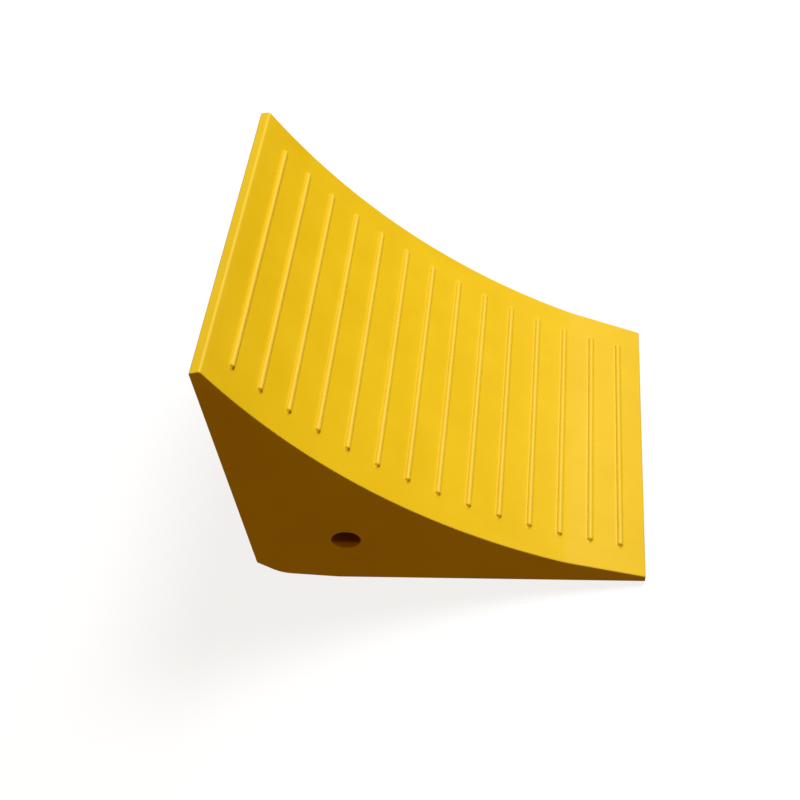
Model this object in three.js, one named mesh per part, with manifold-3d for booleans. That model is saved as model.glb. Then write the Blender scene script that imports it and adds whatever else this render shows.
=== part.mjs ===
// Heavy-duty wheel chock: a cast urethane wedge with two replaceable rubber pads under its base.
// Units are millimetres. +X points to the toe (the thin end), +Y is across, +Z is up.
// The origin is on the ground, under the middle of the chock's length.
import * as THREE from "three";
import { mergeVertices } from "three/addons/utils/BufferGeometryUtils.js";
import Module from "manifold-3d";

const wasm = await Module();
wasm.setup();

// ---- driving dimensions -------------------------------------------------------------------------

const GAP = 0.3; // between pieces that touch on the real chock

const BODY_LENGTH = 393.4; // toe face to the rear of the crest
const BODY_HEIGHT = 253.3; // crest edge above the casting's own base
const PAD_PROUD = 2; // how far the pads hold the casting's base off the ground
const TOE_WIDTH = 320; // across the toe, at its foot
const PLAN_TAPER = 0.0795; // each side moves out by this much per mm from toe to heel
const SIDE_DRAFT = 0.0643; // and in by this much per mm of height

const TYRE_RADIUS = 625; // the ramp is hollowed to fit this tyre
const LIP_LENGTH = 74.5; // straight stretch of ramp at the toe
const LIP_ANGLE = THREE.MathUtils.degToRad(14);
const TOE_HEIGHT = 6; // the upright face at the very front
const CREST_DEPTH = 9.2; // strip on top, front to rear
const CREST_DROP = 2.3; // the strip falls this much to the rear
const HEEL_SETBACK = 39.2; // the rear face's foot is this far forward of its top
const HEEL_RISE = 18.2; // the foot's height above the base
const HEEL_BEND_SETBACK = 60.8; // a bevel runs from that foot down to a soft bend
const HEEL_BEND_RISE = 4.2;
const HEEL_BEND_ROUND = 40;
const BASE_SETBACK = 113; // and a shallow slope from the bend to the flat base
const BASE_END_ROUND = 60;
const CREST_ROUND = 3;
const TOE_FOOT_ROUND = 0.6;
const CORNER_ROUND = 1.5; // at the other corners of the side outline
const CORNER_STEPS = 8; // flats round each of these corners

const RIB_COUNT = 14;
const RIB_HEIGHT = 2.6; // how far a rib stands out of the ramp
const RIB_RADIUS = 2.7; // of its round top
const RIB_INSET = 28; // side face to the rib's end
const FIRST_RIB = 30.2; // crest edge to the first rib, along the ramp
const RIB_PITCH = 33.2; // at the crest
const RIB_TIGHTEN = 0.0083; // times the cube of a rib's number: the ribs draw together towards the toe

const ROPE_HOLE_WIDTH = 26; // front to rear
const ROPE_HOLE_TALL = 21;
const ROPE_HOLE_FROM_TOE = 272.5;
const ROPE_HOLE_HEIGHT = 51.5; // of its middle, above the casting's base

const PAD_LENGTH = 196;
const PAD_WIDTH = 132;
const PAD_CORNER = 9;
const PAD_REAR_FROM_TOE = 276;
const PAD_OFFSET = 82; // pad's middle from the centre plane
const PAD_CLEARANCE = 0.5; // all round, in its recess
const RECESS_DEPTH = 10; // up from the casting's base
const TREAD_PITCH = 16;
const TREAD_GROOVE = 4; // width
const TREAD_DEPTH = 3;
const TREAD_LAND_DIAMETER = 36; // ungrooved round each screw

const SCREW_INSET_X = 24; // pad's end to the screw
const SCREW_INSET_Y = 24; // pad's side to the screw
const SCREW_DIAMETER = 8;
const SCREW_TIP_Z = 26;
const HEAD_DIAMETER = 14;
const HEAD_HEIGHT = 4.4;
const HEAD_BOTTOM_Z = 1; // the head stays this far off the ground
const SOCKET_ACROSS_FLATS = 5;
const SOCKET_DEPTH = 2.6;
const WASHER_DIAMETER = 22;
const WASHER_BORE = 8.8;
const WASHER_THICKNESS = 2;
const COUNTERBORE_DIAMETER = 25;
const PAD_SCREW_HOLE = 9;
const INSERT_DIAMETER = 13;
const INSERT_WAIST_DIAMETER = 11;
const INSERT_LENGTH = 16;
const INSERT_BORE = 8.6;
const INSERT_CLOSED_END = 1.3;

const ROUND_SEGMENTS = 16;

// ---- derived places -----------------------------------------------------------------------------

const TOE_X = BODY_LENGTH / 2;
const RECESS_TOP_Z = PAD_PROUD + RECESS_DEPTH;
const PAD_TOP_Z = RECESS_TOP_Z - GAP;
const PAD_MIDDLE_X = TOE_X - PAD_REAR_FROM_TOE + PAD_LENGTH / 2;
const HEAD_TOP_Z = HEAD_BOTTOM_Z + HEAD_HEIGHT;
const WASHER_BOTTOM_Z = HEAD_TOP_Z + GAP;
const COUNTERBORE_TOP_Z = WASHER_BOTTOM_Z + WASHER_THICKNESS + GAP;
const INSERT_BOTTOM_Z = RECESS_TOP_Z + GAP;
const INSERT_TOP_Z = INSERT_BOTTOM_Z + INSERT_LENGTH;

// Half the casting's width at a distance from the toe and a height above the casting's base.
const halfWidth = (fromToe, height) =>
  TOE_WIDTH / 2 + PLAN_TAPER * fromToe - SIDE_DRAFT * height;

// ---- ramp ---------------------------------------------------------------------------------------
// Worked out as (distance from the toe, height above the casting's base).

const crestEdge = new THREE.Vector2(BODY_LENGTH - CREST_DEPTH, BODY_HEIGHT);
const lipStart = new THREE.Vector2(
  LIP_LENGTH,
  TOE_HEIGHT + LIP_LENGTH * Math.tan(LIP_ANGLE),
);
const rampChord = crestEdge.clone().sub(lipStart);
const chordAngle = rampChord.angle();
const halfArc = Math.asin(rampChord.length() / 2 / TYRE_RADIUS);
const crestSlope = chordAngle + halfArc; // the ramp's slope at the crest edge
const arcLength = 2 * halfArc * TYRE_RADIUS;
const tyreCentre = new THREE.Vector2(
  crestEdge.x - TYRE_RADIUS * Math.sin(crestSlope),
  crestEdge.y + TYRE_RADIUS * Math.cos(crestSlope),
);

// The point on the ramp at a distance along it from the crest edge, with its slope.
function rampAt(distance) {
  if (distance <= arcLength) {
    const slope = crestSlope - distance / TYRE_RADIUS;
    return {
      fromToe: tyreCentre.x + TYRE_RADIUS * Math.sin(slope),
      height: tyreCentre.y - TYRE_RADIUS * Math.cos(slope),
      slope,
    };
  }
  const alongLip = distance - arcLength;
  return {
    fromToe: lipStart.x - alongLip * Math.cos(LIP_ANGLE),
    height: lipStart.y - alongLip * Math.sin(LIP_ANGLE),
    slope: LIP_ANGLE,
  };
}

// ---- helpers ------------------------------------------------------------------------------------

// A solid that can be cut and joined, from a closed geometry.
function solid(geometry) {
  const bare = geometry.clone();
  bare.deleteAttribute("normal");
  bare.deleteAttribute("uv");
  const merged = mergeVertices(bare, 1e-4);
  return new wasm.Manifold(
    new wasm.Mesh({
      numProp: 3,
      vertProperties: merged.attributes.position.array,
      triVerts: new Uint32Array(merged.index.array),
    }),
  );
}

// A geometry from such a solid.
function geometryOf(manifold) {
  const made = manifold.getMesh();
  return new THREE.BufferGeometry()
    .setAttribute("position", new THREE.BufferAttribute(made.vertProperties, 3))
    .setIndex(new THREE.BufferAttribute(made.triVerts, 1))
    .toNonIndexed();
}

// An upright cylinder between two heights.
function post(diameter, bottomZ, topZ, segments = ROUND_SEGMENTS) {
  return new THREE.CylinderGeometry(diameter / 2, diameter / 2, topZ - bottomZ, segments)
    .rotateX(Math.PI / 2)
    .translate(0, 0, (bottomZ + topZ) / 2);
}

// A slab with round corners, between two heights, centred on the origin in plan.
function roundedSlab(length, width, corner, bottomZ, topZ) {
  const shape = new THREE.Shape();
  const x = length / 2 - corner;
  const y = width / 2 - corner;
  shape.absarc(x, y, corner, 0, Math.PI / 2);
  shape.absarc(-x, y, corner, Math.PI / 2, Math.PI);
  shape.absarc(-x, -y, corner, Math.PI, 1.5 * Math.PI);
  shape.absarc(x, -y, corner, 1.5 * Math.PI, 2 * Math.PI);
  const options = { depth: topZ - bottomZ, bevelEnabled: false, curveSegments: 5 };
  return new THREE.ExtrudeGeometry(shape, options).translate(0, 0, bottomZ);
}

// Points of an arc that rounds the corner between two straight edges.
function roundCorner(before, corner, after, radius) {
  const into = corner.clone().sub(before).normalize();
  const out = after.clone().sub(corner).normalize();
  const turn = Math.atan2(into.cross(out), into.dot(out));
  const side = Math.sign(turn);
  const start = corner.clone().addScaledVector(into, -radius * Math.tan(Math.abs(turn) / 2));
  const centre = start.clone().add(new THREE.Vector2(-into.y, into.x).multiplyScalar(side * radius));
  const spoke = start.clone().sub(centre);
  return Array.from({ length: CORNER_STEPS + 1 }, (_, i) =>
    spoke.clone().rotateAround(new THREE.Vector2(), (turn * i) / CORNER_STEPS).add(centre),
  );
}

// ---- chock body ---------------------------------------------------------------------------------

// The side outline as (distance from the toe, height), starting at the toe's foot.
function sideOutline() {
  const arcSteps = 24;
  const ramp = Array.from({ length: arcSteps + 1 }, (_, i) => {
    const { fromToe, height } = rampAt(arcLength * (1 - i / arcSteps));
    return new THREE.Vector2(fromToe, height);
  });
  const toeFoot = new THREE.Vector2(0, 0);
  const toeTop = new THREE.Vector2(0, TOE_HEIGHT);
  const crestRear = new THREE.Vector2(BODY_LENGTH, BODY_HEIGHT - CREST_DROP);
  const heelFoot = new THREE.Vector2(BODY_LENGTH - HEEL_SETBACK, HEEL_RISE);
  const heelBend = new THREE.Vector2(BODY_LENGTH - HEEL_BEND_SETBACK, HEEL_BEND_RISE);
  const baseEnd = new THREE.Vector2(BODY_LENGTH - BASE_SETBACK, 0);
  const beforeCrest = ramp[ramp.length - 2];
  return [
    ...roundCorner(baseEnd, toeFoot, toeTop, TOE_FOOT_ROUND),
    ...roundCorner(toeFoot, toeTop, lipStart, CORNER_ROUND),
    ...ramp.slice(0, -1),
    ...roundCorner(beforeCrest, crestEdge, crestRear, CREST_ROUND),
    ...roundCorner(crestEdge, crestRear, heelFoot, CORNER_ROUND),
    ...roundCorner(crestRear, heelFoot, heelBend, CORNER_ROUND),
    ...roundCorner(heelFoot, heelBend, baseEnd, HEEL_BEND_ROUND),
    ...roundCorner(heelBend, baseEnd, toeFoot, BASE_END_ROUND),
  ];
}

// The wedge with its tapering sides: the outline is extruded two units deep, then each point is
// pushed out to the casting's own half width there.
function wedge() {
  const shape = new THREE.Shape(sideOutline());
  const geometry = new THREE.ExtrudeGeometry(shape, { depth: 2, bevelEnabled: false });
  const position = geometry.attributes.position;
  for (let i = 0; i < position.count; i += 1) {
    const fromToe = position.getX(i);
    const height = position.getY(i);
    const side = position.getZ(i) - 1;
    position.setXYZ(i, TOE_X - fromToe, side * halfWidth(fromToe, height), height + PAD_PROUD);
  }
  return geometry;
}

// A long bead with round ends, sunk into the ramp until only its top shows.
function rib(index) {
  const along = FIRST_RIB + RIB_PITCH * index - RIB_TIGHTEN * index ** 3;
  const { fromToe, height, slope } = rampAt(along);
  const sink = RIB_RADIUS - RIB_HEIGHT;
  const endReach = Math.sqrt(RIB_RADIUS ** 2 - sink ** 2);
  const length = 2 * (halfWidth(fromToe, height) - RIB_INSET - endReach);
  return new THREE.CapsuleGeometry(RIB_RADIUS, length, 4, ROUND_SEGMENTS)
    .rotateY(slope)
    .translate(
      TOE_X - fromToe - sink * Math.sin(slope),
      0,
      height + PAD_PROUD - sink * Math.cos(slope),
    );
}

// An oval bar along Y, longer than the chock is wide.
function ropeHole() {
  const pastBothSides = 2 * TOE_WIDTH;
  return new THREE.CylinderGeometry(1, 1, pastBothSides, 2 * ROUND_SEGMENTS)
    .scale(ROPE_HOLE_WIDTH / 2, 1, ROPE_HOLE_TALL / 2)
    .translate(TOE_X - ROPE_HOLE_FROM_TOE, 0, ROPE_HOLE_HEIGHT + PAD_PROUD);
}

// The screws' places in plan, four to a pad.
const sides = { left: 1, right: -1 };
const screwPlaces = Object.values(sides).flatMap((side) =>
  [-1, 1].flatMap((alongX) =>
    [-1, 1].map((alongY) => ({
      x: PAD_MIDDLE_X + alongX * (PAD_LENGTH / 2 - SCREW_INSET_X),
      y: side * PAD_OFFSET + alongY * (PAD_WIDTH / 2 - SCREW_INSET_Y),
    })),
  ),
);

function chockBody() {
  let body = solid(wedge());
  for (let i = 0; i < RIB_COUNT; i += 1) body = body.add(solid(rib(i)));
  body = body.subtract(solid(ropeHole()));
  for (const side of Object.values(sides)) {
    const recess = roundedSlab(
      PAD_LENGTH + 2 * PAD_CLEARANCE,
      PAD_WIDTH + 2 * PAD_CLEARANCE,
      PAD_CORNER + PAD_CLEARANCE,
      0,
      RECESS_TOP_Z,
    ).translate(PAD_MIDDLE_X, side * PAD_OFFSET, 0);
    body = body.subtract(solid(recess));
  }
  const insertSocket = post(INSERT_DIAMETER + 2 * GAP, PAD_PROUD, INSERT_TOP_Z + GAP);
  for (const { x, y } of screwPlaces) {
    body = body.subtract(solid(insertSocket.clone().translate(x, y, 0)));
  }
  return geometryOf(body);
}

// ---- pads and their fixings ---------------------------------------------------------------------

// A rubber pad in its place: cross grooves, one groove along the middle, four counterbored holes,
// each in a plain round land.
function tractionPad(side) {
  const past = 10; // each cutter runs this far past the pad
  const cornerSigns = [-1, 1].flatMap((alongX) => [-1, 1].map((alongY) => [alongX, alongY]));
  const atEachScrew = (cutter) =>
    cornerSigns.map(([alongX, alongY]) =>
      solid(
        cutter
          .clone()
          .translate(
            alongX * (PAD_LENGTH / 2 - SCREW_INSET_X),
            alongY * (PAD_WIDTH / 2 - SCREW_INSET_Y),
            0,
          ),
      ),
    );
  let grooves = solid(new THREE.BoxGeometry(PAD_LENGTH + past, TREAD_GROOVE, 2 * TREAD_DEPTH));
  const grooveCount = Math.floor(PAD_LENGTH / TREAD_PITCH) - 1;
  for (let i = 0; i < grooveCount; i += 1) {
    const x = (i - (grooveCount - 1) / 2) * TREAD_PITCH;
    const groove = new THREE.BoxGeometry(TREAD_GROOVE, PAD_WIDTH + past, 2 * TREAD_DEPTH);
    grooves = grooves.add(solid(groove.translate(x, 0, 0)));
  }
  const land = post(TREAD_LAND_DIAMETER, -past, past, 32);
  for (const cutter of atEachScrew(land)) grooves = grooves.subtract(cutter);
  let pad = solid(roundedSlab(PAD_LENGTH, PAD_WIDTH, PAD_CORNER, 0, PAD_TOP_Z));
  pad = pad.subtract(grooves);
  const counterbore = post(COUNTERBORE_DIAMETER, -past, COUNTERBORE_TOP_Z);
  const hole = post(PAD_SCREW_HOLE, -past, PAD_TOP_Z + past);
  for (const cutter of [...atEachScrew(counterbore), ...atEachScrew(hole)]) {
    pad = pad.subtract(cutter);
  }
  return geometryOf(pad).translate(PAD_MIDDLE_X, side * PAD_OFFSET, 0);
}

// A solid of revolution from (radius, height) pairs that start and end on the axis, or close.
function turned(pairs) {
  const profile = pairs.map(([radius, z]) => new THREE.Vector2(radius, z));
  return new THREE.LatheGeometry(profile, ROUND_SEGMENTS).rotateX(Math.PI / 2);
}

// Button-head socket screw, head down.
function padScrew() {
  const headRadius = HEAD_DIAMETER / 2;
  const shankRadius = SCREW_DIAMETER / 2;
  const rim = 0.8; // upright edge of the head under its dome
  const crownRadius = 0.45 * headRadius;
  const domeSteps = 3;
  const dome = Array.from({ length: domeSteps + 1 }, (_, i) => {
    const angle = (i / domeSteps) * (Math.PI / 2);
    return [
      crownRadius + (headRadius - crownRadius) * Math.sin(angle),
      HEAD_TOP_Z - rim - (HEAD_HEIGHT - rim) * Math.cos(angle),
    ];
  });
  const screw = solid(
    turned([
      [0, HEAD_BOTTOM_Z],
      ...dome,
      [headRadius, HEAD_TOP_Z],
      [shankRadius, HEAD_TOP_Z],
      [shankRadius, SCREW_TIP_Z - 1],
      [shankRadius - 1, SCREW_TIP_Z],
      [0, SCREW_TIP_Z],
    ]),
  );
  const acrossCorners = SOCKET_ACROSS_FLATS / Math.cos(Math.PI / 6);
  const socket = post(acrossCorners, HEAD_BOTTOM_Z - 1, HEAD_BOTTOM_Z + SOCKET_DEPTH, 6);
  return geometryOf(screw.subtract(solid(socket)));
}

function padWasher() {
  const top = WASHER_BOTTOM_Z + WASHER_THICKNESS;
  return turned([
    [WASHER_BORE / 2, WASHER_BOTTOM_Z],
    [WASHER_DIAMETER / 2, WASHER_BOTTOM_Z],
    [WASHER_DIAMETER / 2, top],
    [WASHER_BORE / 2, top],
    [WASHER_BORE / 2, WASHER_BOTTOM_Z],
  ]);
}

// Blind insert with a waist, so that the urethane cast round it can't let go.
function threadedInsert() {
  const outer = INSERT_DIAMETER / 2;
  const waist = INSERT_WAIST_DIAMETER / 2;
  const boreTop = INSERT_TOP_Z - INSERT_CLOSED_END;
  const collar = INSERT_LENGTH / 4;
  return turned([
    [0, boreTop],
    [INSERT_BORE / 2, boreTop],
    [INSERT_BORE / 2, INSERT_BOTTOM_Z],
    [outer, INSERT_BOTTOM_Z],
    [outer, INSERT_BOTTOM_Z + collar],
    [waist, INSERT_BOTTOM_Z + collar + 1],
    [waist, INSERT_TOP_Z - collar - 1],
    [outer, INSERT_TOP_Z - collar],
    [outer, INSERT_TOP_Z],
    [0, INSERT_TOP_Z],
  ]);
}

// ---- assembly -----------------------------------------------------------------------------------

const urethane = new THREE.MeshStandardMaterial({ color: 0xecbe1e, roughness: 0.5, metalness: 0 });
const rubber = new THREE.MeshStandardMaterial({ color: 0x1d1d1f, roughness: 0.85, metalness: 0 });
const zincSteel = new THREE.MeshStandardMaterial({ color: 0xb9bcc0, roughness: 0.35, metalness: 1 });
const brass = new THREE.MeshStandardMaterial({ color: 0xb8933f, roughness: 0.4, metalness: 1 });

const chock = new THREE.Group();
chock.name = "wheel_chock";

function place(name, geometry, material, x = 0, y = 0) {
  const mesh = new THREE.Mesh(geometry, material);
  mesh.name = name;
  mesh.position.set(x, y, 0);
  chock.add(mesh);
}

place("chock_body", chockBody(), urethane);
for (const [name, side] of Object.entries(sides)) {
  place(`${name}_traction_pad`, tractionPad(side), rubber);
}
screwPlaces.forEach(({ x, y }, index) => {
  const number = index + 1;
  place(`pad_screw_${number}`, padScrew(), zincSteel, x, y);
  place(`pad_washer_${number}`, padWasher(), zincSteel, x, y);
  place(`threaded_insert_${number}`, threadedInsert(), brass, x, y);
});

export default chock;
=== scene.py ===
"""Looks of the heavy-duty wheel chock: a cast yellow urethane wedge with rubber pads screwed under it.

Shapes are worked out in millimetres and written to the meshes in metres, in the row frame: +X points to
the toe, +Y is across, +Z is up. The ramp is laid out as (distance back from the toe, height above the
casting's base), anchored on the CAD body's own box.
"""

import math

import bmesh
import bpy
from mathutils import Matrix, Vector
from mathutils.geometry import tessellate_polygon


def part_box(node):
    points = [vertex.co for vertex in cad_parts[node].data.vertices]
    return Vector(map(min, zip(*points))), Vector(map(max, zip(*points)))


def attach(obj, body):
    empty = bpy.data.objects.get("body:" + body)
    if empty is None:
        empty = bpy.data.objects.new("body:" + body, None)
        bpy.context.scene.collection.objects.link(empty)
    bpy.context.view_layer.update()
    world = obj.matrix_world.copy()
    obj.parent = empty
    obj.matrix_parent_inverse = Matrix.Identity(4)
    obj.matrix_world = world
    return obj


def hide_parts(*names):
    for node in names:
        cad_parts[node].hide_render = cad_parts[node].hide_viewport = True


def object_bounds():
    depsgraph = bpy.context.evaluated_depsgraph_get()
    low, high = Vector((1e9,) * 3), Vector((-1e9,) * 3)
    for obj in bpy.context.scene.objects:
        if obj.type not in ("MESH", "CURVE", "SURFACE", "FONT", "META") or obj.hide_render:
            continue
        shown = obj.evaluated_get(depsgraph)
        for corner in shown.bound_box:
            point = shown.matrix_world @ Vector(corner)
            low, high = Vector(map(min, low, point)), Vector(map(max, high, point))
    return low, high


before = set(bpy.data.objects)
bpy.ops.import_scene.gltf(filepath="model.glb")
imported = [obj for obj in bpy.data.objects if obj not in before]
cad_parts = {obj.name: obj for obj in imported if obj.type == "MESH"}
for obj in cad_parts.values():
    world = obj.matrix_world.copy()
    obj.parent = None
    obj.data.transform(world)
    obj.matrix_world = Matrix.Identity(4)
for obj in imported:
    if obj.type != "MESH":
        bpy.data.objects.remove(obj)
cad_low, cad_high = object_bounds()

MM = 0.001

# ---- driving dimensions, in millimetres ------------------------------------------------------------

body_low, body_high = (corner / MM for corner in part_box("chock_body"))
TOE_X = body_high.x
BASE_Z = body_low.z

BODY_LENGTH = 2 * TOE_X
BODY_HEIGHT = 253.3
TOE_WIDTH = 320.0
PLAN_TAPER = 0.0795  # each side moves out by this much per mm from toe to heel
SIDE_DRAFT = 0.0643  # and in by this much per mm of height

TYRE_RADIUS = 625.0  # the ramp's arc, down to the straight lip at the toe
LIP_LENGTH = 74.5  # along the ground
LIP_ANGLE = math.radians(14)
TOE_HEIGHT = 6.0
CREST_DEPTH = 9.2
CREST_DROP = 2.3  # the crest strip falls by this much from the ramp to the rear face
HEEL_SETBACK = 39.2  # the rear face's foot is this far in front of its top
HEEL_RISE = 18.2  # and this far above the casting's base
HEEL_BEND_SETBACK = 60.8  # a bevel runs from the rear face's foot down to a soft bend
HEEL_BEND_RISE = 4.2
HEEL_BEND_ROUND = 40.0
BASE_SETBACK = 113.0  # and a shallow slope from the bend to the flat base
BASE_END_ROUND = 60.0
CREST_ROUND = 3.0
CORNER_ROUND = 1.5
TOE_FOOT_ROUND = 0.6
EDGE_ROUND = 1.2  # where the side faces meet the rest
FOOT_EDGE_SHARE = 0.4  # the side faces meet the base on this much of that

RIB_COUNT = 14
RIB_HEIGHT = 2.6
RIB_RADIUS = 2.7
RIB_FOOT_BLEND = 1.5
RIB_FOOT_SLOPE = 0.7  # the lower, the wider the blend spreads over the ramp
RIB_TIP_LENGTH = 3.3  # each end runs down to a point over this length
RIB_INSET = 28.0  # from the side face to the rib's tip
FIRST_RIB = 30.2  # down the ramp, from the crest edge to the first rib's axis
RIB_PITCH = 33.2
RIB_TIGHTEN = 0.0083  # times the cube of the rib's number: the ribs draw together towards the toe

ROPE_HOLE_WIDTH = 26.0
ROPE_HOLE_TALL = 21.0
ROPE_HOLE_FROM_TOE = 272.5  # of the hole's middle
ROPE_HOLE_HEIGHT = 51.5  # of the hole's middle, above the casting's base
ROPE_HOLE_ROUND = 0.7

RECESS_CLEARANCE = 0.5  # round each pad
RECESS_CORNER = 9.5
RECESS_RIM_ROUND = 0.9
RECESS_ROOF_ROUND = 1.5
TREAD_PITCH = 16.0
TREAD_GROOVE = 4.0
TREAD_DEPTH = 3.0
TREAD_LAND_RADIUS = 18.0  # round each screw the tread has no grooves
COUNTERBORE_RADIUS = 12.5
PAD_SCREW_HOLE_RADIUS = 4.5
PAD_CORNER = 9.0

SOCKET_ACROSS_FLATS = 5.0
SOCKET_DEPTH = 2.6
HEAD_HEIGHT = 4.4
THREAD_PITCH = 1.25
THREAD_DEPTH = 0.65
INSERT_COLLAR = 4.0
INSERT_WAIST_RADIUS = 5.5
INSERT_BORE_RADIUS = 4.3
INSERT_CLOSED_END = 1.3
GAP = 0.3  # between pieces that fit together

SIDES = ("left", "right")
SCREW_NUMBERS = range(1, 9)

# ---- painted highlight and painted shade: amounts from 0 to 1, distances in millimetres --------------

# painted highlight: on the rounded side edges that face upwards, on the crest and along each rib's top
EDGE_HIGHLIGHT = 0.35
EDGE_HIGHLIGHT_FACING = 0.2  # only where the outline's normal points up by more than this
CREST_HIGHLIGHT = 0.3
CREST_HIGHLIGHT_FROM = BODY_HEIGHT - 4.0
RIB_HIGHLIGHT_POWER = 2.5  # the higher, the narrower the painted highlight along a rib's top
# painted shade along each rib's foot, fading out down the ramp
RIB_FOOT_SHADE_WIDTH = 1.2  # to each side of the foot
RIB_FOOT_SHADE_END = 300.0  # down the ramp from the crest, where the painted shade ends
# painted shade inside the rope hole: full deep in and up its walls, light on the lit floor of its mouth
MOUTH_FLOOR_SHADE = 0.12  # painted shade, only a little, on the lit floor of the rope hole's mouth
LIT_FLOOR_DEPTH = 6.0  # how deep that lit floor reaches, at the lowest place
LIT_FLOOR_RISE = 9.0  # and less by this much times the share of the way up to the bore's middle
BORE_SHADE_FADE = 1.5


# ---- mesh building ---------------------------------------------------------------------------------


class Skin:
    """Collects points, and the faces between them, in millimetres, and makes one mesh object."""

    def __init__(self):
        self.points = []
        self.faces = []
        self.marks = {"painted_highlight": {}, "painted_rib_shade": {}, "painted_bore_shade": {}}

    def add(self, points):
        """Adds a row of points and returns their numbers."""
        start = len(self.points)
        self.points.extend(Vector(p) for p in points)
        return list(range(start, len(self.points)))

    def mark(self, kind, row, amounts):
        """Says how much painted highlight, painted shade at a rib's foot or painted shade inside the rope
        hole each point of a row takes, from 0 to 1.
        """
        self.marks[kind].update(zip(row, amounts))

    def bridge(self, first, second):
        """Quads between two closed rows of the same length."""
        count = len(first)
        for i in range(count):
            j = (i + 1) % count
            self.faces.append((first[i], first[j], second[j], second[i]))

    def loft(self, rings):
        """Quads from each closed row to the next."""
        for first, second in zip(rings, rings[1:]):
            self.bridge(first, second)

    def fill(self, outer, holes=()):
        """A flat face inside one closed row, leaving out the closed rows in holes."""
        rows = [outer, *holes]
        numbers = [n for row in rows for n in row]
        polygons = [[self.points[n] for n in row] for row in rows]
        for triangle in tessellate_polygon(polygons):
            self.faces.append(tuple(numbers[i] for i in triangle))

    def mesh(self, name):
        """A mesh of the points and faces, in metres."""
        mesh = bpy.data.meshes.new(name)
        mesh.from_pydata([p * MM for p in self.points], [], self.faces)
        return mesh

    def piece(self, name, material):
        """The finished object, with the marks as values on its points."""
        mesh = self.mesh(name)
        for kind, amounts in self.marks.items():
            if amounts:
                attribute = mesh.attributes.new(kind, "FLOAT", "POINT")
                for number, amount in amounts.items():
                    attribute.data[number].value = amount
        return finished(name, mesh, material)


def finished(name, mesh, material):
    """An object for the mesh, closed up, smooth shaded and facing out."""
    build = bmesh.new()
    build.from_mesh(mesh)
    bmesh.ops.remove_doubles(build, verts=build.verts, dist=0.01 * MM)
    bmesh.ops.dissolve_degenerate(build, edges=build.edges, dist=0.005 * MM)
    bmesh.ops.recalc_face_normals(build, faces=build.faces)
    for face in build.faces:
        face.smooth = True
    build.to_mesh(mesh)
    build.free()
    mesh.materials.clear()
    mesh.materials.append(material)
    made = bpy.data.objects.new(name, mesh)
    bpy.context.scene.collection.objects.link(made)
    even = made.modifiers.new("even_shading", "WEIGHTED_NORMAL")
    even.weight = 90
    return made


def box_of(node):
    """The low and high corners of a CAD node's box, in millimetres."""
    return [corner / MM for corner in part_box(node)]


def stands_for(piece, node):
    """The piece takes the CAD node's place on the one body."""
    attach(piece, "root")
    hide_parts(node)


def circle(radius, count):
    """Flat points round the origin."""
    angles = (math.tau * i / count for i in range(count))
    return [(radius * math.cos(a), radius * math.sin(a)) for a in angles]


def rounded_rectangle(length, width, corner, steps=8):
    """Flat points round a rectangle with round corners, centred on the origin."""
    points = []
    for quarter in range(4):
        turn = quarter * math.pi / 2
        centre_x = (length / 2 - corner) * (1 if quarter in (0, 3) else -1)
        centre_y = (width / 2 - corner) * (1 if quarter in (0, 1) else -1)
        for i in range(steps + 1):
            a = turn + math.pi / 2 * i / steps
            points.append((centre_x + corner * math.cos(a), centre_y + corner * math.sin(a)))
    return points


def rectangle(length, width):
    """Flat points round a rectangle whose corners are sharp to the eye, centred on the origin."""
    return rounded_rectangle(length, width, 0.01, 1)


def quarter_turns(steps):
    """Angles from 0 to a quarter turn."""
    return [math.pi / 2 * i / steps for i in range(steps + 1)]


# ---- the chock's side outline ----------------------------------------------------------------------


def half_width(from_toe, height):
    return TOE_WIDTH / 2 + PLAN_TAPER * from_toe - SIDE_DRAFT * height


crest_edge = Vector((BODY_LENGTH - CREST_DEPTH, BODY_HEIGHT))
lip_start = Vector((LIP_LENGTH, TOE_HEIGHT + LIP_LENGTH * math.tan(LIP_ANGLE)))
ramp_chord = crest_edge - lip_start
half_arc = math.asin(ramp_chord.length / 2 / TYRE_RADIUS)
crest_slope = math.atan2(ramp_chord.y, ramp_chord.x) + half_arc
arc_length = 2 * half_arc * TYRE_RADIUS
lip_run = LIP_LENGTH / math.cos(LIP_ANGLE)
tyre_centre = crest_edge + TYRE_RADIUS * Vector((-math.sin(crest_slope), math.cos(crest_slope)))


def ramp_at(along):
    """(point, slope) on the ramp at a distance along it from the crest edge."""
    if along <= arc_length:
        slope = crest_slope - along / TYRE_RADIUS
        return tyre_centre + TYRE_RADIUS * Vector((math.sin(slope), -math.cos(slope))), slope
    down = along - arc_length
    return lip_start - down * Vector((math.cos(LIP_ANGLE), math.sin(LIP_ANGLE))), LIP_ANGLE


def rib_along(index):
    return FIRST_RIB + RIB_PITCH * index - RIB_TIGHTEN * index**3


ribs = []  # (distance of its axis along the ramp, half the length of its straight stretch)
for rib_index in range(RIB_COUNT):
    rib_point, _ = ramp_at(rib_along(rib_index))
    straight_half = half_width(*rib_point) - RIB_INSET - RIB_TIP_LENGTH
    ribs.append((rib_along(rib_index), straight_half))


def bead(off_axis):
    """A rib's height at a distance from its axis: a round top that blends into the ramp."""
    round_top = math.sqrt(max(RIB_RADIUS**2 - off_axis**2, 0.0)) - (RIB_RADIUS - RIB_HEIGHT)
    round_top -= RIB_FOOT_SLOPE * max(off_axis - RIB_RADIUS, 0.0)
    blend = max(RIB_FOOT_BLEND - abs(round_top), 0.0) / RIB_FOOT_BLEND
    return max(round_top, 0.0) + blend**2 * RIB_FOOT_BLEND / 4


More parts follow.
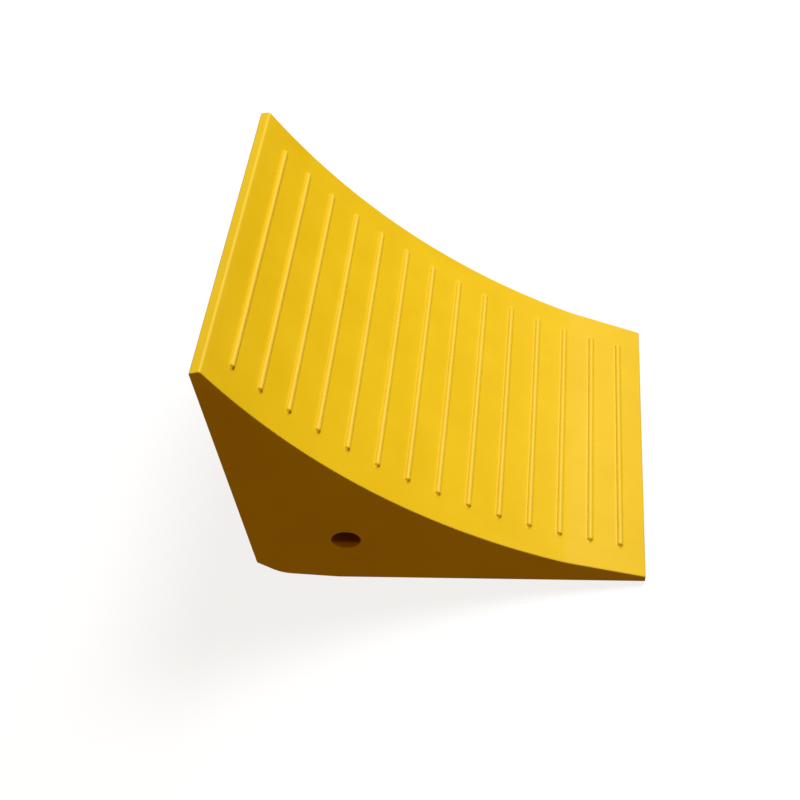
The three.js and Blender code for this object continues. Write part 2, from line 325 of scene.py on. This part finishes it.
def off_rib(along, y):
    """Distance from a place on the ramp to the nearest rib's axis. Past the rib's straight stretch it
    grows so that the ridge falls away evenly, to nothing at the tip."""
    nearest = min(ribs, key=lambda rib: abs(rib[0] - along))
    past_end = max(abs(y) - nearest[1], 0.0)
    drop = RIB_HEIGHT * past_end / RIB_TIP_LENGTH
    if drop < RIB_RADIUS:
        past_end = math.sqrt(RIB_RADIUS**2 - (RIB_RADIUS - drop) ** 2)
    else:
        past_end += RIB_RADIUS - RIB_TIP_LENGTH * RIB_RADIUS / RIB_HEIGHT
    return math.hypot(along - nearest[0], past_end)


def rounded(before, corner, after, radius, steps):
    """(point, outward normal) round a corner of the outline, which runs clockwise."""
    into = (corner - before).normalized()
    out = (after - corner).normalized()
    turn = math.acos(max(-1.0, min(1.0, into.dot(out))))
    start = corner - into * radius * math.tan(turn / 2)
    first_normal = Vector((-into.y, into.x))
    centre = start - first_normal * radius
    found = []
    for i in range(steps + 1):
        cos, sin = math.cos(-turn * i / steps), math.sin(-turn * i / steps)
        x = first_normal.x * cos - first_normal.y * sin
        y = first_normal.x * sin + first_normal.y * cos
        normal = Vector((x, y))
        found.append((centre + normal * radius, normal))
    return found


def ramp_stations(start, end):
    """Distances along the ramp: close together across each rib, wider between them."""
    across_rib = (0.0, 0.4, 0.8, 1.2, 1.6, 1.95, 2.2, 2.4, 2.55, 2.66, 2.8, 3.0, 3.3, 3.7, 4.2, 4.8, 5.5)
    stations = set()  # a rib's own stations are the same to both sides of its axis
    for along, _ in ribs:
        stations.update(along + side * step for step in across_rib for side in (-1, 1))
    steps_between = 4
    edges = [start, *(along for along, _ in ribs), end]
    for low, high in zip(edges, edges[1:]):
        clear_from = low + (0.0 if low == start else across_rib[-1])
        clear_to = high - (0.0 if high == end else across_rib[-1])
        step = (clear_to - clear_from) / steps_between
        stations.update(clear_from + step * i for i in range(1, steps_between))
    return sorted(along for along in stations if start < along < end)


def side_outline():
    """[(point, outward normal, distance along the ramp or None, share of EDGE_ROUND)] for the whole
    outline, clockwise from the toe's foot."""
    toe_foot = Vector((0, 0))
    toe_top = Vector((0, TOE_HEIGHT))
    crest_rear = Vector((BODY_LENGTH, BODY_HEIGHT - CREST_DROP))
    heel_foot = Vector((BODY_LENGTH - HEEL_SETBACK, HEEL_RISE))
    heel_bend = Vector((BODY_LENGTH - HEEL_BEND_SETBACK, HEEL_BEND_RISE))
    base_end = Vector((BODY_LENGTH - BASE_SETBACK, 0))
    crest_tangent = Vector((math.cos(crest_slope), math.sin(crest_slope)))
    crest_cut = CREST_ROUND * math.tan(crest_slope / 2)
    toe_turn = math.pi / 2 - LIP_ANGLE
    toe_cut = CORNER_ROUND * math.tan(toe_turn / 2)
    ramp_end = arc_length + lip_run
    found = []

    def add(stretch, edge_share=1.0):
        found.extend((point, normal, None, edge_share) for point, normal in stretch)

    add(rounded(base_end, toe_foot, toe_top, TOE_FOOT_ROUND, 6), FOOT_EDGE_SHARE)
    add(rounded(toe_foot, toe_top, lip_start, CORNER_ROUND, 6))
    for along in reversed(ramp_stations(crest_cut, ramp_end - toe_cut)):
        point, slope = ramp_at(along)
        found.append((point, Vector((-math.sin(slope), math.cos(slope))), along, 1.0))
    add(rounded(crest_edge - crest_tangent, crest_edge, crest_rear, CREST_ROUND, 8))
    add(rounded(crest_edge, crest_rear, heel_foot, CORNER_ROUND, 8))
    heel = [
        *rounded(crest_rear, heel_foot, heel_bend, CORNER_ROUND, 6),
        *rounded(heel_foot, heel_bend, base_end, HEEL_BEND_ROUND, 10),
        *rounded(heel_bend, base_end, toe_foot, BASE_END_ROUND, 6),
    ]
    for point, normal in heel:
        climb = min(point.y / HEEL_RISE, 1.0)
        add([(point, normal)], FOOT_EDGE_SHARE + (1 - FOOT_EDGE_SHARE) * climb)
    return found


# ---- the chock body --------------------------------------------------------------------------------


def place(from_toe, height, y):
    """A point of the row frame, in millimetres."""
    return Vector((TOE_X - from_toe, y, BASE_Z + height))


def width_lines():
    """[(share of the half width, distance in from the side face, inset of the outline)] from one side
    face to the other: round at both edges, close together where the ribs end."""
    left = []
    for a in quarter_turns(5):
        left.append((1.0, EDGE_ROUND * (1 - math.cos(a)), EDGE_ROUND * (1 - math.sin(a))))
    margin = [4, 12, 20, 25]
    rib_tips = [26.4, *(27 + 0.5 * i for i in range(12)), 33.5, 36, 40]
    left.extend((1.0, inward, 0.0) for inward in margin + rib_tips)
    middle_steps = 16
    middle = [(1 - 2 * i / middle_steps, rib_tips[-1], 0.0) for i in range(1, middle_steps)]
    right = [(-share, inward, inset) for share, inward, inset in reversed(left)]
    return left + middle + right


def outline_ring(skin, outline, share, inward, inset):
    """One line of points round the chock, at one place across its width."""
    ring = []
    painted_highlight = []
    painted_rib_shade = []
    on_edge = inset > 0.0
    for point, normal, along, edge_share in outline:
        inner = point - normal * inset * edge_share
        y = share * (half_width(*inner) - inward * (edge_share if on_edge else 1.0))
        # painted highlight on the rounded side edges that face upwards
        at_edge = EDGE_HIGHLIGHT if on_edge and normal.y > EDGE_HIGHLIGHT_FACING else 0.0
        if along is None:
            ring.append(place(*inner, y))
            # painted highlight on the crest strip
            at_crest = CREST_HIGHLIGHT * max(normal.y, 0.0) if point.y > CREST_HIGHLIGHT_FROM else 0.0
            painted_highlight.append(max(at_edge, at_crest))
            painted_rib_shade.append(0.0)
            continue
        off = off_rib(along, y)
        rise = 0.0 if on_edge else bead(off)
        ring.append(place(*(inner + normal * rise), y))
        # painted highlight along each rib's top
        painted_highlight.append(max(at_edge, min(rise / RIB_HEIGHT, 1.0) ** RIB_HIGHLIGHT_POWER))
        # painted shade at each rib's foot, strongest near the crest
        upper = max(1 - along / RIB_FOOT_SHADE_END, 0.0)
        painted_rib_shade.append(upper * max(0.0, 1 - abs(off - RIB_RADIUS) / RIB_FOOT_SHADE_WIDTH))
    row = skin.add(ring)
    skin.mark("painted_highlight", row, painted_highlight)
    skin.mark("painted_rib_shade", row, painted_rib_shade)
    return row


def rope_hole_rings(skin, side):
    """The hole's rim on the side face at +Y (side 1) or -Y (side -1), and the bore's first stretch."""

    def ring(depth, grow, shade_share=1.0):
        points = []
        painted_bore_shade = []
        for across, up in circle(1.0, 64):
            from_toe = ROPE_HOLE_FROM_TOE + (ROPE_HOLE_WIDTH / 2 + grow) * across
            height = ROPE_HOLE_HEIGHT + (ROPE_HOLE_TALL / 2 + grow) * up
            points.append(place(from_toe, height, side * (half_width(from_toe, height) - depth)))
            # painted shade in the bore: little on the lit floor of the mouth, full deeper in and up the
            # walls
            past_lit_floor = depth - LIT_FLOOR_DEPTH + LIT_FLOOR_RISE * (1 + up)
            shade_growth = min(max(past_lit_floor / BORE_SHADE_FADE, 0.0), 1.0)
            painted_bore_shade.append(shade_share * (MOUTH_FLOOR_SHADE + (1 - MOUTH_FLOOR_SHADE) * shade_growth))
        row = skin.add(points)
        skin.mark("painted_bore_shade", row, painted_bore_shade)
        return row

    rings = []
    # round the rim the painted shade grows from nothing on the side face to full in the bore
    for a in quarter_turns(5):
        depth = ROPE_HOLE_ROUND * (1 - math.cos(a))
        rings.append(ring(depth, ROPE_HOLE_ROUND * (1 - math.sin(a)), math.sin(a)))
    mouth = [1.5 + i for i in range(6)]
    rings.extend(ring(depth, 0.0) for depth in [*mouth, 8, 12, 20, 40])
    return rings


def pad_recess(skin, side):
    """Adds one recess under the base and returns its rim's row of points."""
    low, high = box_of(f"{side}_traction_pad")
    middle = (low + high) / 2
    length = high.x - low.x + 2 * RECESS_CLEARANCE
    width = high.y - low.y + 2 * RECESS_CLEARANCE
    roof = high.z + GAP

    def ring(grow, z):
        flat = rounded_rectangle(length + 2 * grow, width + 2 * grow, RECESS_CORNER + grow)
        return skin.add([(middle.x + x, middle.y + y, z) for x, y in flat])

    rings = []
    for a in quarter_turns(4):
        grow = RECESS_RIM_ROUND * (1 - math.sin(a))
        rings.append(ring(grow, BASE_Z + RECESS_RIM_ROUND * (1 - math.cos(a))))
    for a in quarter_turns(4):
        grow = -RECESS_ROOF_ROUND * (1 - math.cos(a))
        rings.append(ring(grow, roof - RECESS_ROOF_ROUND * (1 - math.sin(a))))
    skin.loft(rings)
    sockets = []
    for number in SCREW_NUMBERS:
        insert_low, insert_high = box_of(f"threaded_insert_{number}")
        centre = (insert_low + insert_high) / 2
        if not low.y < centre.y < high.y:
            continue
        radius = (insert_high.x - insert_low.x) / 2 + GAP
        flat = circle(radius, 32)
        mouth, end = (
            skin.add([(centre.x + x, centre.y + y, z) for x, y in flat])
            for z in (roof, insert_high.z + GAP)
        )
        skin.bridge(mouth, end)
        skin.fill(end)
        sockets.append(mouth)
    skin.fill(rings[-1], sockets)
    return rings[0]


def urethane_body(material):
    skin = Skin()
    outline = side_outline()
    lines = width_lines()
    rings = [outline_ring(skin, outline, *line) for line in lines]
    flat_from = next(i for i, line in enumerate(lines) if line[2] == 0.0)
    flat_to = len(lines) - 1 - flat_from
    count = len(outline)
    base = count - 1  # the stretch from the last point back to the first is the flat base
    for j, (first, second) in enumerate(zip(rings, rings[1:])):
        for i in range(count):
            if i == base and flat_from <= j < flat_to:
                continue
            k = (i + 1) % count
            skin.faces.append((first[i], first[k], second[k], second[i]))
    heel_row = [rings[j][base] for j in range(flat_from, flat_to + 1)]
    toe_row = [rings[j][0] for j in range(flat_from, flat_to + 1)]
    skin.fill(heel_row + toe_row[::-1], [pad_recess(skin, side) for side in SIDES])
    bores = []
    for side, ring in ((1, rings[0]), (-1, rings[-1])):
        hole = rope_hole_rings(skin, side)
        skin.fill(ring, [hole[0]])
        skin.loft(hole)
        bores.append(hole[-1])
    skin.bridge(*bores)
    return skin.piece("urethane_body", material)


# ---- pads ------------------------------------------------------------------------------------------


def prism(name, flat, bottom, top):
    """A plain upright solid for cutting with."""
    skin = Skin()
    rings = [skin.add([(x, y, z) for x, y in flat]) for z in (bottom, top)]
    skin.bridge(*rings)
    for ring in rings:
        skin.faces.append(tuple(ring))
    mesh = skin.mesh(name)
    build = bmesh.new()
    build.from_mesh(mesh)
    bmesh.ops.recalc_face_normals(build, faces=build.faces)
    build.to_mesh(mesh)
    build.free()
    made = bpy.data.objects.new(name, mesh)
    bpy.context.scene.collection.objects.link(made)
    return made


def moved(flat, dx, dy):
    return [(x + dx, y + dy) for x, y in flat]


def combine(target, tool, operation):
    """Applies one boolean to the target, and removes the tool."""
    cut = target.modifiers.new("cut", "BOOLEAN")
    cut.operation = operation
    cut.solver = "EXACT"
    cut.object = tool
    depsgraph = bpy.context.evaluated_depsgraph_get()
    result = bpy.data.meshes.new_from_object(target.evaluated_get(depsgraph))
    target.modifiers.clear()
    target.data = result
    bpy.data.objects.remove(tool)


def traction_pad(side, material):
    low, high = box_of(f"{side}_traction_pad")
    middle = (low + high) / 2
    length, width = high.x - low.x, high.y - low.y
    past = 5.0  # how far each cutting solid stands out of the pad
    all_screws = (sum(box_of(f"pad_screw_{number}"), Vector()) / 2 for number in SCREW_NUMBERS)
    screws = [screw for screw in all_screws if low.y < screw.y < high.y]
    groove_floor = low.z + TREAD_DEPTH
    grooves = prism(
        "grooves",
        moved(rectangle(length + 2 * past, TREAD_GROOVE), middle.x, middle.y),
        low.z - past,
        groove_floor,
    )
    groove_count = int(length // TREAD_PITCH) - 1
    for i in range(groove_count):
        x = middle.x + (i - (groove_count - 1) / 2) * TREAD_PITCH
        flat = moved(rectangle(TREAD_GROOVE, width + 2 * past), x, middle.y)
        combine(grooves, prism("groove", flat, low.z - past, groove_floor), "UNION")
    for screw in screws:
        flat = moved(circle(TREAD_LAND_RADIUS, 64), screw.x, screw.y)
        combine(grooves, prism("land", flat, low.z - 2 * past, groove_floor + past), "DIFFERENCE")
    outline = moved(rounded_rectangle(length, width, PAD_CORNER), middle.x, middle.y)
    pad = prism(f"rubber_pad_{side}", outline, low.z, high.z)
    combine(pad, grooves, "DIFFERENCE")
    washer_top = box_of("pad_washer_1")[1].z
    for screw in screws:
        flat = moved(circle(COUNTERBORE_RADIUS, 48), screw.x, screw.y)
        combine(pad, prism("counterbore", flat, low.z - past, washer_top + GAP), "DIFFERENCE")
        flat = moved(circle(PAD_SCREW_HOLE_RADIUS, 48), screw.x, screw.y)
        combine(pad, prism("hole", flat, low.z - past, high.z + past), "DIFFERENCE")
    mesh = pad.data
    name = pad.name
    bpy.data.objects.remove(pad)
    made = finished(name, mesh, material)
    soften = made.modifiers.new("soft_edges", "BEVEL")
    soften.width = 0.5 * MM
    soften.segments = 2
    soften.limit_method = "ANGLE"
    soften.angle_limit = math.radians(35)
    made.modifiers.move(1, 0)  # the edges are softened before the shading is evened
    return made


# ---- screws, washers and inserts -------------------------------------------------------------------


def around(skin, centre, radius_at, z, count):
    """A ring of points about an upright axis, its radius a function of the angle."""
    angles = [math.tau * i / count for i in range(count)]
    return skin.add(
        [
            (centre.x + radius_at(a) * math.cos(a), centre.y + radius_at(a) * math.sin(a), z)
            for a in angles
        ]
    )


def hexagon(across_flats):
    """A hexagon's radius as a function of the angle."""

    def radius_at(angle):
        off_flat = (angle + math.pi / 6) % (math.pi / 3) - math.pi / 6
        return across_flats / 2 / math.cos(off_flat)

    return radius_at


def pad_screw(number, material):
    """Button-head socket screw, head down, with its thread cut as a helix."""
    low, high = box_of(f"pad_screw_{number}")
    centre = (low + high) / 2
    head_radius = (high.x - low.x) / 2
    shank_radius = 4.0
    head_top = low.z + HEAD_HEIGHT
    count = 48
    skin = Skin()

    def plain(radius, z):
        return around(skin, centre, lambda _: radius, z, count)

    flats = hexagon(SOCKET_ACROSS_FLATS)
    chamfer = 0.35
    drill_point = 0.7
    rings = [
        around(skin, centre, lambda a: 0.15 * flats(a), low.z + SOCKET_DEPTH + drill_point, count),
        around(skin, centre, flats, low.z + SOCKET_DEPTH, count),
        around(skin, centre, flats, low.z + chamfer, count),
        plain(SOCKET_ACROSS_FLATS / 2 / math.cos(math.pi / 6) + chamfer, low.z),
    ]
    socket_floor = rings[0]
    crown_radius = 0.5 * head_radius
    rim = 0.8
    for a in quarter_turns(8):
        rings.append(
            plain(
                crown_radius + (head_radius - crown_radius) * math.sin(a),
                head_top - rim - (HEAD_HEIGHT - rim) * math.cos(a),
            )
        )
    rim_chamfer = 0.2
    neck_fillet = 0.5
    for radius, z in (
        (head_radius, head_top - rim_chamfer),
        (head_radius - rim_chamfer, head_top),
        (shank_radius + neck_fillet, head_top),
        (shank_radius + 0.3 * neck_fillet, head_top + 0.3 * neck_fillet),
        (shank_radius, head_top + neck_fillet),
    ):
        rings.append(plain(radius, z))
    thread_start = head_top + 2.5
    tip_chamfer = 0.8
    thread_end = high.z - tip_chamfer
    rows_per_turn = 5
    rows = int((thread_end - thread_start) / THREAD_PITCH * rows_per_turn)
    rows_of_run_in = 6
    for row in range(rows + 1):
        z = thread_start + (thread_end - thread_start) * row / rows
        fade = min(1.0, row / rows_of_run_in)

        def threaded(angle, z=z, fade=fade):
            phase = (z / THREAD_PITCH - angle / math.tau) % 1.0
            return shank_radius - fade * THREAD_DEPTH * abs(2 * phase - 1)

        rings.append(around(skin, centre, threaded, z, count))
    tip_radius = shank_radius - THREAD_DEPTH - 0.2
    rings.append(plain(tip_radius, high.z))
    skin.loft(rings)
    skin.fill(socket_floor)
    skin.fill(rings[-1])
    return skin.piece(f"zinc_screw_{number}", material)


def pad_washer(number, material):
    """A stamped washer: rounded on one face's edge, sharper on the other."""
    low, high = box_of(f"pad_washer_{number}")
    centre = (low + high) / 2
    outer = (high.x - low.x) / 2
    bore = 4.4
    die_round = 0.5
    burr = 0.12
    profile = [
        (bore, low.z + burr),
        (bore + burr, low.z),
        *(
            (outer - die_round * (1 - math.sin(a)), low.z + die_round * (1 - math.cos(a)))
            for a in quarter_turns(4)
        ),
        (outer, high.z - burr),
        (outer - burr, high.z),
        (bore + burr, high.z),
        (bore, high.z - burr),
    ]
    skin = Skin()
    rings = [around(skin, centre, lambda _, r=radius: r, z, 64) for radius, z in profile]
    skin.loft([*rings, rings[0]])
    return skin.piece(f"zinc_washer_{number}", material)


def threaded_insert(number, material):
    """A blind insert with two knurled collars and a waist between them."""
    low, high = box_of(f"threaded_insert_{number}")
    centre = (low + high) / 2
    outer = (high.x - low.x) / 2
    knurl_depth = 0.3
    teeth = 30
    points_per_tooth = 4
    chamfer = 0.4
    collar_edge = outer - knurl_depth - 0.1
    waist_fillet = 0.6

    def plain(radius):
        return lambda _: radius

    def knurled(angle):
        return outer - knurl_depth / 2 * (1 - math.cos(teeth * angle))

    bore_top = high.z - INSERT_CLOSED_END
    profile = [
        (plain(0.4), bore_top + 0.3),  # the drill's point: nearly shut here, full width 1.3 mm lower
        (plain(INSERT_BORE_RADIUS), bore_top - 1.0),
        (plain(INSERT_BORE_RADIUS), low.z + chamfer),
        (plain(INSERT_BORE_RADIUS + chamfer), low.z),
        (plain(outer - knurl_depth - chamfer), low.z),
        (knurled, low.z + chamfer),
        (knurled, low.z + INSERT_COLLAR - chamfer),
        (plain(collar_edge), low.z + INSERT_COLLAR),
        (plain(INSERT_WAIST_RADIUS), low.z + INSERT_COLLAR + waist_fillet),
        (plain(INSERT_WAIST_RADIUS), high.z - INSERT_COLLAR - waist_fillet),
        (plain(collar_edge), high.z - INSERT_COLLAR),
        (knurled, high.z - INSERT_COLLAR + chamfer),
        (knurled, high.z - chamfer),
        (plain(outer - knurl_depth - chamfer), high.z),
    ]
    skin = Skin()
    count = teeth * points_per_tooth
    rings = [around(skin, centre, radius_at, z, count) for radius_at, z in profile]
    skin.loft(rings)
    skin.fill(rings[0])
    skin.fill(rings[-1])
    return skin.piece(f"brass_insert_{number}", material)


# ---- materials -------------------------------------------------------------------------------------


class Nodes:
    """A new material's node tree, with its Principled shader ready."""

    def __init__(self, name):
        self.material = bpy.data.materials.new(name)
        self.material.use_nodes = True
        self.tree = self.material.node_tree
        self.shader = self.tree.nodes["Principled BSDF"]
        self.place = self.new("ShaderNodeTexCoord").outputs["Object"]

    def new(self, kind, **settings):
        node = self.tree.nodes.new(kind)
        for key, value in settings.items():
            setattr(node, key, value)
        return node

    def link(self, source, target):
        self.tree.links.new(source, target)

    def noise(self, scale, detail=3.0, roughness=0.5, stretch=None):
        """A noise value over the object; scale is features per metre, stretch a factor for X, Y and Z."""
        node = self.new("ShaderNodeTexNoise")
        node.inputs["Scale"].default_value = scale
        node.inputs["Detail"].default_value = detail
        node.inputs["Roughness"].default_value = roughness
        source = self.place
        if stretch:
            mapping = self.new("ShaderNodeMapping")
            mapping.inputs["Scale"].default_value = stretch
            self.link(self.place, mapping.inputs["Vector"])
            source = mapping.outputs["Vector"]
        self.link(source, node.inputs["Vector"])
        return node.outputs["Fac"]

    def spread(self, value, low, high, start=0.3, end=0.7):
        """The value's start to end range spread over low to high."""
        node = self.new("ShaderNodeMapRange")
        for key, number in (("From Min", start), ("From Max", end), ("To Min", low), ("To Max", high)):
            node.inputs[key].default_value = number
        self.link(value, node.inputs["Value"])
        return node.outputs["Result"]

    def attribute(self, name):
        """A value stored on the mesh's points."""
        return self.new("ShaderNodeAttribute", attribute_name=name).outputs["Fac"]

    def product(self, first, second):
        node = self.new("ShaderNodeMath", operation="MULTIPLY")
        self.link(first, node.inputs[0])
        self.link(second, node.inputs[1])
        return node.outputs["Value"]

    def between(self, value, *colours):
        """A colour between two, by value. Each is three numbers, or another node's output."""
        node = self.new("ShaderNodeMix", data_type="RGBA")
        ends = [socket for socket in node.inputs if socket.type == "RGBA"]
        for socket, colour in zip(ends, colours):
            if isinstance(colour, tuple):
                socket.default_value = (*colour, 1)
            else:
                self.link(colour, socket)
        self.link(value, node.inputs[0])
        return next(s for s in node.outputs if s.type == "RGBA")

    def bump(self, layers):
        """Bumps laid over each other: [(height, strength, distance in mm)]."""
        before = None
        for height, strength, distance in layers:
            node = self.new("ShaderNodeBump")
            node.inputs["Strength"].default_value = strength
            node.inputs["Distance"].default_value = distance * MM
            self.link(height, node.inputs["Height"])
            if before:
                self.link(before, node.inputs["Normal"])
            before = node.outputs["Normal"]
        self.link(before, self.shader.inputs["Normal"])


def urethane_material():
    """Cast polyurethane: an even, slightly glossy yellow with a faint cloudiness and a fine skin, with
    painted highlights along the rib tops, crest and upward edges, and painted shade at the rib feet and
    inside the rope hole.
    """
    nodes = Nodes("cast_urethane")
    clouds = nodes.noise(22.0, detail=5.0)
    specks = nodes.noise(420.0, detail=2.0)
    yellow = nodes.between(nodes.spread(clouds, 0.0, 1.0), (0.84, 0.565, 0.009), (0.88, 0.605, 0.013))
    # painted shade at the ribs' feet
    rib_foot_shade = nodes.product(nodes.attribute("painted_rib_shade"), nodes.spread(clouds, 0.12, 0.3))
    shaded = nodes.between(rib_foot_shade, yellow, (0.72, 0.40, 0.002))
    # painted highlight along the ribs' tops, the crest and the upward edges
    highlit = nodes.product(nodes.attribute("painted_highlight"), nodes.spread(specks, 0.45, 0.75))
    bright = nodes.between(highlit, shaded, (0.87, 0.69, 0.092))
    # painted shade inside the rope hole
    tone = nodes.between(nodes.attribute("painted_bore_shade"), bright, (0.45, 0.16, 0.004))
    nodes.link(tone, nodes.shader.inputs["Base Color"])
    nodes.link(nodes.spread(specks, 0.38, 0.46), nodes.shader.inputs["Roughness"])
    nodes.shader.inputs["Specular IOR Level"].default_value = 0.12
    nodes.bump([(nodes.noise(35.0), 0.2, 0.2), (nodes.noise(900.0, detail=1.0), 0.1, 0.05)])
    return nodes.material


def rubber_material():
    """Black moulded rubber, matt, with a trace of grey dust."""
    nodes = Nodes("pad_rubber")
    dust = nodes.noise(45.0, detail=6.0, roughness=0.65)
    dusty = nodes.spread(dust, 0.0, 1.0, start=0.45, end=0.75)
    tone = nodes.between(dusty, (0.014, 0.014, 0.015), (0.05, 0.047, 0.042))
    nodes.link(tone, nodes.shader.inputs["Base Color"])
    nodes.link(nodes.spread(dust, 0.68, 0.88), nodes.shader.inputs["Roughness"])
    nodes.bump([(nodes.noise(600.0, detail=2.0), 0.35, 0.12)])
    return nodes.material


def zinc_material():
    """Bright zinc plate over steel, clouded where it has been handled."""
    nodes = Nodes("zinc_plate")
    clouds = nodes.noise(160.0, detail=4.0)
    tone = nodes.between(nodes.spread(clouds, 0.0, 1.0), (0.60, 0.61, 0.63), (0.74, 0.73, 0.69))
    nodes.link(tone, nodes.shader.inputs["Base Color"])
    nodes.shader.inputs["Metallic"].default_value = 1.0
    nodes.link(nodes.spread(clouds, 0.26, 0.42), nodes.shader.inputs["Roughness"])
    nodes.bump([(nodes.noise(1500.0, detail=1.0), 0.1, 0.02)])
    return nodes.material


def brass_material():
    """Machined brass, a little dull."""
    nodes = Nodes("insert_brass")
    clouds = nodes.noise(200.0, detail=3.0)
    tone = nodes.between(nodes.spread(clouds, 0.0, 1.0), (0.60, 0.41, 0.14), (0.72, 0.52, 0.22))
    nodes.link(tone, nodes.shader.inputs["Base Color"])
    nodes.shader.inputs["Metallic"].default_value = 1.0
    nodes.link(nodes.spread(clouds, 0.28, 0.45), nodes.shader.inputs["Roughness"])
    nodes.bump([(nodes.noise(800.0, stretch=(1, 1, 12)), 0.1, 0.02)])
    return nodes.material


def studio_material():
    nodes = Nodes("studio_floor")
    shade = nodes.noise(1.5, detail=2.0)
    tone = nodes.between(nodes.spread(shade, 0.0, 1.0), (0.20, 0.20, 0.20), (0.22, 0.22, 0.22))
    nodes.link(tone, nodes.shader.inputs["Base Color"])
    nodes.shader.inputs["Roughness"].default_value = 0.9
    nodes.shader.inputs["Specular IOR Level"].default_value = 0.1
    nodes.shader.inputs["Emission Color"].default_value = (1, 1, 1, 1)
    nodes.shader.inputs["Emission Strength"].default_value = 0.84
    return nodes.material


# ---- studio ----------------------------------------------------------------------------------------


def studio(material):
    """A wide pale floor that curves up into a wall all round."""
    floor_radius, wall_radius, wall_height = 5000.0, 7000.0, 5000.0
    skin = Skin()

    def ring(radius, height):
        return skin.add([(x, y, height) for x, y in circle(radius, 96)])

    rings = [ring(floor_radius, 0.0)]
    sweep = wall_radius - floor_radius
    for a in quarter_turns(12)[1:]:
        rings.append(ring(floor_radius + sweep * math.sin(a), sweep * (1 - math.cos(a))))
    rings.append(ring(wall_radius, wall_height))
    skin.loft(rings)
    skin.faces.append(tuple(rings[0]))
    floor = skin.piece("studio_floor", material)
    floor.visible_diffuse = False
    floor.visible_glossy = False
    floor.visible_shadow = False


def soft_light(name, azimuth, elevation, distance, size, power):
    """A white area light that faces the chock. Its azimuth is measured from +Y towards +X, in degrees;
    its distance and size are in metres, its power in watts."""
    data = bpy.data.lights.new(name, "AREA")
    data.shape = "SQUARE"
    data.size = size
    data.energy = power
    light = bpy.data.objects.new(name, data)
    bpy.context.scene.collection.objects.link(light)
    a, e = math.radians(azimuth), math.radians(elevation)
    towards = Vector((math.sin(a) * math.cos(e), math.cos(a) * math.cos(e), math.sin(e)))
    target = (cad_low + cad_high) / 2
    light.location = target + towards * distance
    light.rotation_mode = "QUATERNION"
    light.rotation_quaternion = towards.to_track_quat("Z", "Y")


def surroundings(colour, strength):
    world = bpy.data.worlds.new("surroundings")
    world.use_nodes = True
    background = world.node_tree.nodes["Background"]
    background.inputs["Color"].default_value = (*colour, 1)
    background.inputs["Strength"].default_value = strength
    bpy.context.scene.world = world


def camera():
    """The view: its angle, its lens, and what lies in the middle of the picture."""
    azimuth, elevation = math.radians(5.59), math.radians(47.47)
    aim = Vector((0.386, 0.5, 0.1912))  # shares of the CAD box along each axis
    chock_lengths_away = 3.415
    size = cad_high - cad_low
    target = cad_low + aim * size
    back = Vector(
        (
            math.sin(azimuth) * math.cos(elevation),
            -math.cos(azimuth) * math.cos(elevation),
            math.sin(elevation),
        )
    )
    data = bpy.data.cameras.new("camera")
    data.sensor_width = 36.0
    data.lens = 61.51
    made = bpy.data.objects.new("camera", data)
    bpy.context.scene.collection.objects.link(made)
    made.location = target + back * chock_lengths_away * size.x
    made.rotation_mode = "QUATERNION"
    made.rotation_quaternion = back.to_track_quat("Z", "Y")
    data.clip_start, data.clip_end = 0.01, 50.0
    bpy.context.scene.camera = made


# ---- the scene -------------------------------------------------------------------------------------

stands_for(urethane_body(urethane_material()), "chock_body")
rubber = rubber_material()
for side_name in SIDES:
    stands_for(traction_pad(side_name, rubber), f"{side_name}_traction_pad")
zinc = zinc_material()
brass = brass_material()
for screw_number in SCREW_NUMBERS:
    stands_for(pad_screw(screw_number, zinc), f"pad_screw_{screw_number}")
    stands_for(pad_washer(screw_number, zinc), f"pad_washer_{screw_number}")
    stands_for(threaded_insert(screw_number, brass), f"threaded_insert_{screw_number}")

studio(studio_material())
surroundings((1.0, 0.54, 0.08), 0.19)
soft_light("key_light", azimuth=18, elevation=54, distance=5.5, size=2.3, power=338)
camera()

bpy.context.scene.view_settings.view_transform = "Standard"
